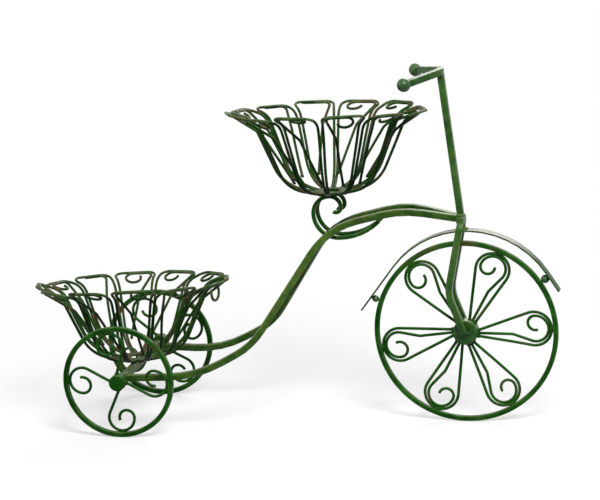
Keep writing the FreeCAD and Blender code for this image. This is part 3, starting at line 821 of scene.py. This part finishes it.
def knob(name, end, inwards, bar_end, paint):
    """Ball on an end of the handlebar, with a ring of weld beads."""
    skin = new_skin()
    place = seat(end, inwards, UP)
    ball(skin, place, KNOB_RADIUS, KNOB_FINENESS, KNOB_LUMP, KNOB_LUMP_SCALE)
    for number in range(KNOB_BEADS):
        angle = number * 360 / KNOB_BEADS + KNOB_BEAD_START
        lean = place.to_3x3() @ Vector(polar(BAR * KNOB_BEAD_CIRCLE, angle) + (0.0,))
        along = place.to_3x3() @ Vector(polar(1, angle + 90) + (0.0,))
        bead(skin, bar_end - inwards * KNOB_BEAD_SINK + lean, along, KNOB_BEAD, number)
    node = "handlebar_ball_" + name
    finish_piece(node + "_knob", skin, "frame", "frame_paint", paint, node)


def handlebar(paint, ball_paint):
    """Bar bent to a nose over the stem, with a ball on each end."""
    stem_top = stem_point(STEM_TOP_RISE)
    turn = math.atan2(HANDLEBAR_HALF, HANDLEBAR_REACH)
    nose_gap = HANDLEBAR_NOSE_RADIUS / math.sin(turn) - HANDLEBAR_NOSE_RADIUS
    fall = (nose_gap + BAR / 2) * HANDLEBAR_DROP / HANDLEBAR_REACH
    middle = stem_top + UP * (BAR / 2 + WELD_GAP + fall)
    steer = Matrix.Rotation(math.radians(HANDLEBAR_TURN), 3, "Z")
    nose = middle + steer @ (AHEAD * nose_gap)
    ball_flat = math.sqrt(KNOB_RADIUS ** 2 - BAR ** 2 / 2)
    bar_ends = {}
    for name, side in SIDES.items():
        end = nose + steer @ Vector((-HANDLEBAR_REACH, side * HANDLEBAR_HALF, -HANDLEBAR_DROP))
        inwards = (nose - end).normalized()
        bar_ends[name] = end + inwards * (ball_flat + WELD_GAP)
        knob(name, end, inwards, bar_ends[name], ball_paint)
    skin = new_skin()
    corners = [bar_ends["right"], nose, bar_ends["left"]]
    bar(skin, corners[0], rounded(corners, [HANDLEBAR_NOSE_RADIUS]), UP, BAR, BAR)
    for side in SIDES.values():
        spot = stem_top + ACROSS * (side * BAR / 2) + UP * HANDLEBAR_BEAD_RISE
        bead(skin, spot, AHEAD, HANDLEBAR_BEAD, seed=side)
    bead(skin, stem_top - AHEAD * (BAR / 2), ACROSS, HANDLEBAR_BEAD, seed=5)
    finish_piece("handlebar_bar", skin, "frame", "frame_paint", paint, "handlebar")


def fender(strip_paint, ball_paint):
    """Strip over the front wheel, with the two balls that hold it off the rim."""
    place = wheel_plane(FRONT_AXLE + FENDER_CENTRE, 0)
    rear_end = Vector(polar(FENDER_RADIUS, FENDER_REAR_ANGLE))
    front_end = Vector(polar(FENDER_RADIUS, FENDER_FRONT_ANGLE))
    rear_tip = rear_end + Vector(polar(FENDER_REAR_RUN, FENDER_REAR_ANGLE + 90))
    front_tip = front_end + Vector(polar(FENDER_FRONT_RUN, FENDER_FRONT_ANGLE - 90))
    width = FRONT_HUB_LENGTH - 2 * WELD_GAP
    skin = new_skin()
    bar(skin, place(rear_tip), [
        place(rear_end) - place(rear_tip),
        bend(place, (0, 0), FENDER_REAR_ANGLE, FENDER_FRONT_ANGLE),
        place(front_tip) - place(front_end),
    ], ACROSS, width, FENDER_THICKNESS, FENDER_EDGE)
    finish_piece("front_fender_strip", skin, "frame", "frame_paint", strip_paint, "front_fender")
    for name, angle in SPACER_ANGLES.items():
        node = "fender_spacer_" + name
        low, high = (Vector(corner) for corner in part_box(node))
        radius = (high.z - low.z) / 2 * PER_METRE
        ray = wheel_plane(FRONT_AXLE, angle)
        centre = ray((FRONT_WHEEL_RADIUS + WELD_GAP + radius, 0))
        out = direction(ray, OUTWARDS)
        skin = new_skin()
        place = seat(centre, out, ACROSS)
        ball(skin, place, radius, SPACER_FINENESS, SPACER_LUMP, SPACER_LUMP_SCALE)
        bead(skin, centre - out * radius, ACROSS, SPACER_RIM_BEAD, seed=1)
        bead(skin, centre + out * radius, ACROSS, SPACER_FENDER_BEAD, seed=2)
        finish_piece(node + "_ball", skin, "frame", "frame_paint", ball_paint, node)


def frame_rails(paint):
    """Two bars in an S from the stem down to the rear axle."""
    heel_x, heel_spread, _ = RAIL_HEEL
    splay = (RAIL_REAR_SPREAD - heel_spread) / heel_x
    front_spot = (-BAR / 2 - RAIL_STEM_GAP, BAR / 2 + WELD_GAP, 0)
    rear_spot = (BAR / 2 * (1 + splay) + WELD_GAP, RAIL_REAR_SPREAD, 0)
    for name, side in SIDES.items():
        front = on_side(stem_point(RAIL_RISE), side, front_spot)
        rear = on_side(REAR_AXLE, side, rear_spot)
        corners = [
            front,
            on_side(CROWN_POINT, side, RAIL_CREST),
            on_side(CROWN_POINT, side, RAIL_SHOULDER),
            on_side(REAR_AXLE, side, RAIL_FOOT),
            on_side(REAR_AXLE, side, RAIL_HEEL),
            rear,
        ]
        skin = new_skin()
        bar(skin, front, rounded(corners, RAIL_BENDS), UP, BAR, BAR)
        for seed, spot in enumerate(RAIL_FRONT_BEAD_SPOTS, 1):
            along = ACROSS if spot[2] else UP
            bead(skin, on_side(front, side, spot), along, RAIL_FRONT_BEAD, seed)
        for seed, spot in enumerate(RAIL_REAR_BEAD_SPOTS, 4):
            along = ACROSS if spot[2] else UP
            bead(skin, on_side(rear, side, spot), along, RAIL_REAR_BEAD, seed)
        node = "frame_rail_" + name
        finish_piece(node + "_bar", skin, "frame", "frame_paint", paint, node)


def basket_brackets(paint):
    """Scrolls that stand on the rails and carry the front basket."""
    low = CROWN - BRACKET_DROP
    turn_height = low + BRACKET_LOW_RADIUS
    low_centre = (FRONT_BASKET_X - BRACKET_TOP_RADIUS + BRACKET_LOW_RADIUS, turn_height)
    top_centre = (FRONT_BASKET_X, turn_height)
    tail_centre = (low_centre[0], low + BRACKET_TAIL_RADIUS)
    front_centre = (FRONT_BASKET_X, turn_height + BRACKET_TOP_RADIUS - BRACKET_FRONT_RADIUS)
    curl_x = front_centre[0] + BRACKET_FRONT_RADIUS - BRACKET_CURL_RADIUS
    curl_centre = (curl_x, front_centre[1])
    for name, side in SIDES.items():
        place = wheel_plane(ACROSS * (side * BRACKET_SPREAD), 0)
        skin = new_skin()
        start = place(on_circle(tail_centre, BRACKET_TAIL_RADIUS, BRACKET_TAIL_ANGLE))
        bar(skin, start, [
            bend(place, tail_centre, BRACKET_TAIL_ANGLE, -90),
            bend(place, low_centre, -90, -180),
            bend(place, top_centre, -180, -270),
            bend(place, front_centre, -270, -360),
            bend(place, curl_centre, 0, BRACKET_CURL_ANGLE),
        ], ACROSS, BRACKET_BAR, BRACKET_BAR, BRACKET_EDGE)
        top = place((FRONT_BASKET_X, turn_height + BRACKET_TOP_RADIUS + BRACKET_BAR / 2))
        for seed, ahead in enumerate((BRACKET_BEAD_AHEAD, -BRACKET_BEAD_AHEAD), 1):
            spot = top + AHEAD * ahead + ACROSS * (side * BRACKET_BEAD_OUT)
            bead(skin, spot, AHEAD, BRACKET_BEAD, seed)
        node = "basket_bracket_" + name
        finish_piece(node + "_scroll", skin, "frame", "frame_paint", paint, node)


def spoke(skin, place, hand):
    """Wire from the hub that curls over against the rim and back into a scroll."""
    rim_inside = REAR_WHEEL_RADIUS - RIM_BAR
    curl_radius = strays(hand, *SPOKE_CURL_RADIUS)
    foot = hub_foot(SPOKE_FOOT, REAR_HUB_DIAMETER / 2)
    reach = rim_inside - WELD_GAP - WHEEL_WIRE / 2 - SPOKE_RADIUS
    centre = (math.sqrt(reach ** 2 - SPOKE_SHIFT ** 2), SPOKE_SHIFT)
    touch = tangent(foot, centre, SPOKE_RADIUS, 1)
    curl = (centre[0], centre[1] - SPOKE_RADIUS + curl_radius)
    wire(skin, place(foot), [
        place(on_circle(centre, SPOKE_RADIUS, touch)) - place(foot),
        bend(place, centre, touch, -90),
        bend(place, curl, -90, strays(hand, *SPOKE_CURL_END)),
    ], ACROSS, WHEEL_WIRE)
    sideways = direction(place, SIDEWAYS)
    hub_spot = (foot[0] - SPOKE_HUB_BEAD_SINK, foot[1])
    rim_spot = (rim_inside - RIM_BEAD_SINK, SPOKE_RIM_BEAD_SHIFT)
    bead(skin, place(hub_spot), sideways, SPOKE_HUB_BEAD, seed=1)
    bead(skin, place(rim_spot), sideways, SPOKE_RIM_BEAD, seed=2)


def rear_wheel(side_name, paint):
    """Rim, hub cap and scroll spokes, which turn together on the axle."""
    name = "rear_%s_wheel" % side_name
    side = SIDES[side_name]
    out = ACROSS * side
    centre = REAR_AXLE + ACROSS * (side * TRACK / 2)
    rim(name + "_rim", centre, REAR_WHEEL_RADIUS, name, paint)
    cap = new_skin()
    hub_face = centre + out * (REAR_HUB_LENGTH / 2)
    disc(cap, hub_face, out, REAR_HUB_DIAMETER / 2, HUB_CAP_THICKNESS, HUB_CAP_DISH)
    finish_piece(name + "_hub_cap_disc", cap, name, "wheel_paint", paint, name + "_hub_cap")
    hand = random.Random(name)
    skin = new_skin()
    for angle in SPOKE_ANGLES[side_name]:
        spoke(skin, wheel_plane(centre, angle, side), hand)
    finish_piece(name + "_spoke_scrolls", skin, name, "wheel_paint", paint, name + "_spokes")


def petal_frame(axis, turn, tilt):
    """Places a petal's point: reach outwards, shift sideways, height; tilt grows with height."""
    angle = math.radians(turn)
    outwards = Vector((math.cos(angle), math.sin(angle), 0))
    sideways = UP.cross(outwards)

    def place(reach, shift, height):
        flat = outwards * reach + sideways * shift
        return axis + flat + UP * (height * (1 + flat.dot(tilt)))

    return place


class BasketPetal:
    """One petal of a basket: its hand-bent sizes and its two wires."""

    def __init__(self, node, place, neck):
        hand = random.Random(node)
        across = math.tan(PETAL_HALF_ANGLE)
        self.place = place
        self.neck = neck
        self.tip_reach = strays(hand, *TIP_REACH) + DRAWN_TIPS.get(node, 0)
        full_half = self.tip_reach * across - TIP_INSET
        self.tip_half = strays(hand, full_half, TIP_INSET_STRAY, TIP_INSET_STRAY)
        slope = math.radians(strays(hand, *TIP_SLOPE))
        self.slope = math.tan(slope) / math.cos(PETAL_HALF_ANGLE)
        self.corner_radius = strays(hand, *TIP_CORNER_RADIUS)
        self.curl_radius = strays(hand, *CURL_RADIUS)
        self.curl_shift = strays(hand, *CURL_SHIFT)
        self.curl_sweep = strays(hand, *CURL_SWEEP)
        self.curl_dip = math.radians(FOLDED_CURLS.get(node, strays(hand, *CURL_DIP)))
        self.kink_shift = strays(hand, *KINK_SHIFT)

    def leg_point(self, side, along, height):
        """Point on a leg, beside the border between petals and further off towards the neck."""
        inset = WIRE_SPACING / 2 + NECK_SPREAD * height / self.neck
        reach = along * math.cos(PETAL_HALF_ANGLE) + inset * math.sin(PETAL_HALF_ANGLE)
        shift = along * math.sin(PETAL_HALF_ANGLE) - inset * math.cos(PETAL_HALF_ANGLE)
        return self.place(reach, side * shift, height)

    def tip_height(self, reach):
        inset = WIRE_SPACING / 2
        neck_reach = (NECK_REACH * math.cos(PETAL_HALF_ANGLE)
                      + inset * math.sin(PETAL_HALF_ANGLE))
        return self.neck + (reach - neck_reach) * self.slope

    def tip(self, shift, inset):
        """Point of the tip's plane: sideways shift and distance inwards from the scroll's run."""
        slope = math.atan(self.slope)
        reach = self.tip_reach - WIRE_SPACING * math.cos(slope) - inset * math.cos(slope)
        return self.place(reach, shift, self.tip_height(reach))

    def loop(self, skin):
        """Up one leg, across the flared tip and down the other leg."""
        rise = BELLY_HEIGHT / (BELLY_REACH - BASE_RING_RADIUS)
        foot = BASE_RING_RADIUS + WELD_GAP + BASKET_WIRE / 2 * rise
        stations = [(foot, 0.0), (BELLY_REACH, BELLY_HEIGHT), (NECK_REACH, self.neck)]
        points = [self.leg_point(1, *station) for station in stations]
        tip_height = self.tip_height(self.tip_reach)
        for shift in (self.tip_half, -self.tip_half):
            points.append(self.place(self.tip_reach, shift, tip_height))
        points += [self.leg_point(-1, *station) for station in reversed(stations)]
        radii = [BELLY_RADIUS, NECK_RADIUS, self.corner_radius]
        wire(skin, points[0], rounded(points, radii + radii[::-1]), UP, BASKET_WIRE)
        outwards = self.place(1, 0, 0) - self.place(0, 0, 0)
        for seed, point in enumerate((points[0], points[-1])):
            bead(skin, point, outwards, PETAL_FOOT_BEAD, seed)

    def scroll(self, skin):
        """Up beside one leg, across to the far corner and back to a curl in the tip."""
        start_reach = SCROLL_START_ALONG * math.cos(PETAL_HALF_ANGLE)
        start_inset = SCROLL_START_SPACINGS * WIRE_SPACING / math.cos(PETAL_HALF_ANGLE)
        start_shift = SCROLL_START_ALONG * math.sin(PETAL_HALF_ANGLE) - start_inset
        start = self.place(start_reach, start_shift, SCROLL_START_HEIGHT)
        kink = self.place(KINK_REACH, self.kink_shift, self.neck - KINK_DROP)
        turn = self.tip(SCROLL_TURN_INSET - self.tip_half, 0)
        run_end = self.tip(self.curl_shift, 0)
        steps = rounded([start, kink, turn, run_end], [KINK_RADIUS, SCROLL_TURN_RADIUS])
        along = (run_end - turn).normalized()
        inwards = self.tip(self.curl_shift, self.curl_radius) - run_end
        inwards = (inwards - along * inwards.dot(along)).normalized()
        inwards = Matrix.Rotation(-self.curl_dip, 3, along) @ inwards

        def curl_plane(point):
            return run_end + along * point[0] + inwards * point[1]

        steps.append(bend(curl_plane, (0, self.curl_radius), -90, self.curl_sweep - 90))
        wire(skin, start, steps, UP, BASKET_WIRE)
        bead(skin, start, self.place(1, 0, 1) - self.place(0, 0, 0), SCROLL_FOOT_BEAD, seed=3)
        bead(skin, self.tip(PETAL_TIP_BEAD_SHIFT, -WIRE_SPACING / 2), along, PETAL_TIP_BEAD, seed=4)


def base_ring(node, axis, paint):
    """Flat ring under a basket."""
    skin = new_skin()
    width = BASE_RING_RADIUS - BASE_RING_HOLE
    middle = (BASE_RING_RADIUS + BASE_RING_HOLE) / 2
    place = seat(axis + AHEAD * middle + UP * (BASE_RING_THICKNESS / 2), ACROSS, AHEAD)
    loop = bar_section(skin, width, BASE_RING_THICKNESS, BASE_RING_EDGE, place)
    draw_ring(skin, loop, axis, UP, BASE_RING_STEPS)
    finish_piece(node + "_plate", skin, "frame", "basket_wire_paint", paint, node)


def basket(name, paint, seat_point, neck, turn, left_tilt, forward_tilt):
    """Base ring on its seat and the petals welded round it, up to a neck's height."""
    axis = seat_point + UP * WELD_GAP
    base_ring(name + "_base_ring", axis, paint)
    fall = Vector((math.tan(math.radians(forward_tilt)), math.tan(math.radians(left_tilt)), 0))
    tilt = fall * (-1 / neck)
    for number in range(PETAL_COUNT):
        node = "%s_petal_%02d" % (name, number + 1)
        petal_turn = turn + number * 360.0 / PETAL_COUNT
        petal = BasketPetal(node, petal_frame(axis + UP * BASKET_FOOT_RISE, petal_turn, tilt), neck)
        skin = new_skin()
        petal.loop(skin)
        petal.scroll(skin)
        edge_mark = skin.verts.layers.float["edge"]
        # Tips are marked as edges: thin paint with a painted highlight, and rust.
        for vert in skin.verts:
            reach = (vert.co - axis).xy.length
            vert[edge_mark] = min(1, max(0, (reach - TIP_WEAR_AND_GLINT_FROM) / TIP_WEAR_AND_GLINT_RUN))
        hand_bent(skin, BASKET_WANDER)
        finish_piece(node + "_wires", skin, "frame", "basket_wire_paint", paint, node)


def rear_axle(paint, wheel_paint):
    """The CAD axle and hubs keep their shape and get rounded edges and paint."""
    for name in ("rear_axle", "rear_left_wheel_hub", "rear_right_wheel_hub"):
        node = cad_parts[name]
        node.data.materials.clear()
        node.data.materials.append(paint if name == "rear_axle" else wheel_paint)
        weld = node.modifiers.new("joined_facets", "WELD")
        weld.merge_threshold = FACET_WELD_REACH
        edges = node.modifiers.new("rounded_edges", "BEVEL")
        edges.width = AXLE_EDGE
        edges.segments = AXLE_EDGE_SEGMENTS
        edges.limit_method = "ANGLE"
        edges.angle_limit = AXLE_EDGE_ANGLE


def seen_rays(start):
    """1 for rays from the camera and for those that show the room in gloss or glass."""
    camera_ray, gloss_ray, glass_ray = (
        start.node("ShaderNodeLightPath", {}, {}, ray)
        for ray in ("Is Camera Ray", "Is Glossy Ray", "Is Transmission Ray"))
    return camera_ray.most(gloss_ray.most(glass_ray))


def pale_floor():
    """Floor that takes the shadow near the stand and turns white further off."""
    paint, start = new_paint("pale_floor")
    seen = seen_rays(start)
    chalk = start.node("ShaderNodeBsdfDiffuse", {}, {"Color": FLOOR_CHALK})
    glow = start.node("ShaderNodeEmission", {}, {"Color": WHITE, "Strength": seen * FLOOR_GLOW})
    near = start.node("ShaderNodeAddShader", {}, {0: chalk, 1: glow})
    far_light = FAR_FLOOR_LIGHT + seen * (1 - FAR_FLOOR_LIGHT)
    far = start.node("ShaderNodeEmission", {}, {"Color": WHITE, "Strength": far_light})
    place = start.node("ShaderNodeTexCoord", {}, {}, "Object")
    reach = start.node("ShaderNodeVectorMath", {"operation": "LENGTH"}, {0: place}, "Value")
    fade = reach.between(*FLOOR_FADE)
    surface = start.node("ShaderNodeMixShader", {}, {0: fade, 1: near, 2: far})
    start.node("ShaderNodeOutputMaterial", {}, {"Surface": surface})
    skin = bmesh.new()
    bmesh.ops.create_circle(skin, cap_ends=True, segments=FLOOR_SIDES, radius=FLOOR_RADIUS)
    mesh = bpy.data.meshes.new("floor")
    skin.to_mesh(mesh)
    skin.free()
    mesh.materials.append(paint)
    floor = bpy.data.objects.new("floor", mesh)
    bpy.context.collection.objects.link(floor)


def white_room():
    """Surroundings that look white and light the stand only a little."""
    world = bpy.data.worlds.new("white_room")
    world.use_nodes = True
    world.node_tree.nodes.clear()
    start = Tone(world.node_tree)
    strength = ROOM_LIGHT + seen_rays(start) * (1 - ROOM_LIGHT)
    light = start.node("ShaderNodeBackground", {}, {"Color": WHITE, "Strength": strength})
    start.node("ShaderNodeOutputWorld", {}, {"Surface": light})
    bpy.context.scene.world = world


def lamp(name, place, size, power):
    """Round soft lamp that faces the stand."""
    light = bpy.data.lights.new(name, "AREA")
    light.shape = "DISK"
    light.size = size
    light.energy = power
    holder = bpy.data.objects.new(name, light)
    holder.location = place
    aim = LAMP_AIM - Vector(place)
    holder.rotation_euler = aim.to_track_quat("-Z", "Y").to_euler()
    bpy.context.collection.objects.link(holder)


def camera():
    """Camera at the photograph's viewing angle, rolled a little as it was held."""
    level_back = Vector((math.sin(CAMERA_AZIMUTH), -math.cos(CAMERA_AZIMUTH), 0))
    back = level_back * math.cos(CAMERA_ELEVATION) + UP * math.sin(CAMERA_ELEVATION)
    level = Vector((math.cos(CAMERA_AZIMUTH), math.sin(CAMERA_AZIMUTH), 0))
    upright = back.cross(level)
    right = level * math.cos(CAMERA_ROLL) + upright * math.sin(CAMERA_ROLL)
    above = upright * math.cos(CAMERA_ROLL) - level * math.sin(CAMERA_ROLL)
    place = TO_FRAME @ (CAMERA_TARGET + back * CAMERA_DISTANCE)
    turn = Matrix((right, above, back)).transposed()
    lens = bpy.data.cameras.new("camera")
    lens.sensor_fit = "HORIZONTAL"
    lens.sensor_width = CAMERA_SENSOR
    lens.lens = CAMERA_LENS
    lens.clip_end = CAMERA_CLIP_END
    holder = bpy.data.objects.new("camera", lens)
    holder.matrix_world = Matrix.Translation(place) @ turn.to_4x4()
    bpy.context.collection.objects.link(holder)
    bpy.context.scene.camera = holder


# Each enamel gives a lit colour, a darker colour for painted shade, brown brushing, rust, and a
# share of painted sheen on tops.
frame_paint = enamel(
    "frame_enamel", fresh_and_lit=rgb(78, 106, 40), shaded=rgb(2, 50, 2), brushed=rgb(88, 72, 46),
    rust_share=0.08, sheen_share=0.14, gloss=0.1)
wheel_paint = enamel(
    "wheel_enamel", fresh_and_lit=rgb(40, 94, 28), shaded=rgb(1, 48, 1), brushed=rgb(80, 58, 42),
    rust_share=0.11, sheen_share=0.08, gloss=0.03)
basket_paint = enamel(
    "basket_wire_enamel", fresh_and_lit=rgb(42, 82, 26), shaded=rgb(1, 32, 1), brushed=rgb(88, 56, 44),
    rust_share=0.15, sheen_share=0.06, gloss=0.03)
steering_paint = enamel(
    "steering_enamel", fresh_and_lit=rgb(62, 104, 34), shaded=rgb(1, 52, 1), brushed=rgb(92, 78, 56),
    rust_share=0.05, sheen_share=0.3, gloss=0.2)
# The fender's darker lit green is painted shade on the strip's side edges; its large sheen share is
# a pale painted reflection on its top.
fender_paint = enamel(
    "fender_enamel", fresh_and_lit=rgb(40, 82, 32), shaded=rgb(1, 40, 1), brushed=rgb(96, 84, 66),
    rust_share=0.03, sheen_share=0.7, gloss=0.05)
ball_paint = enamel(
    "ball_enamel", fresh_and_lit=rgb(46, 96, 34), shaded=rgb(1, 48, 1), brushed=rgb(84, 70, 50),
    rust_share=0.04, sheen_share=0.05, gloss=0.45)

front_wheel(wheel_paint, steering_paint)
stem(steering_paint)
fork(steering_paint)
handlebar(steering_paint, ball_paint)
fender(fender_paint, ball_paint)
frame_rails(frame_paint)
# The brackets take the deeper green wheel enamel as painted shade.
basket_brackets(wheel_paint)
rear_axle(frame_paint, wheel_paint)
rear_wheel("right", wheel_paint)
rear_wheel("left", wheel_paint)
basket(
    "front_basket", basket_paint,
    seat_point=Vector((FRONT_BASKET_X, 0, CROWN + FRONT_BASKET_RISE)),
    neck=88.05, turn=20.5, left_tilt=3.7, forward_tilt=0.0)
basket(
    "rear_basket", basket_paint,
    seat_point=REAR_AXLE + Vector((-REAR_BASKET_SET_BACK, 0, BAR / 2)),
    neck=84.3, turn=15.2, left_tilt=5.3, forward_tilt=-1.5)
pale_floor()
white_room()
lamp("key_lamp", place=(0.9, -1.7, 2.1), size=1.1, power=72)
lamp("fill_lamp", place=(-1.9, -1.3, 1.3), size=1.8, power=14)
lamp("back_lamp", place=(0.4, 2.3, 1.5), size=1.6, power=34)
camera()
bpy.context.scene.view_settings.view_transform = "Standard"
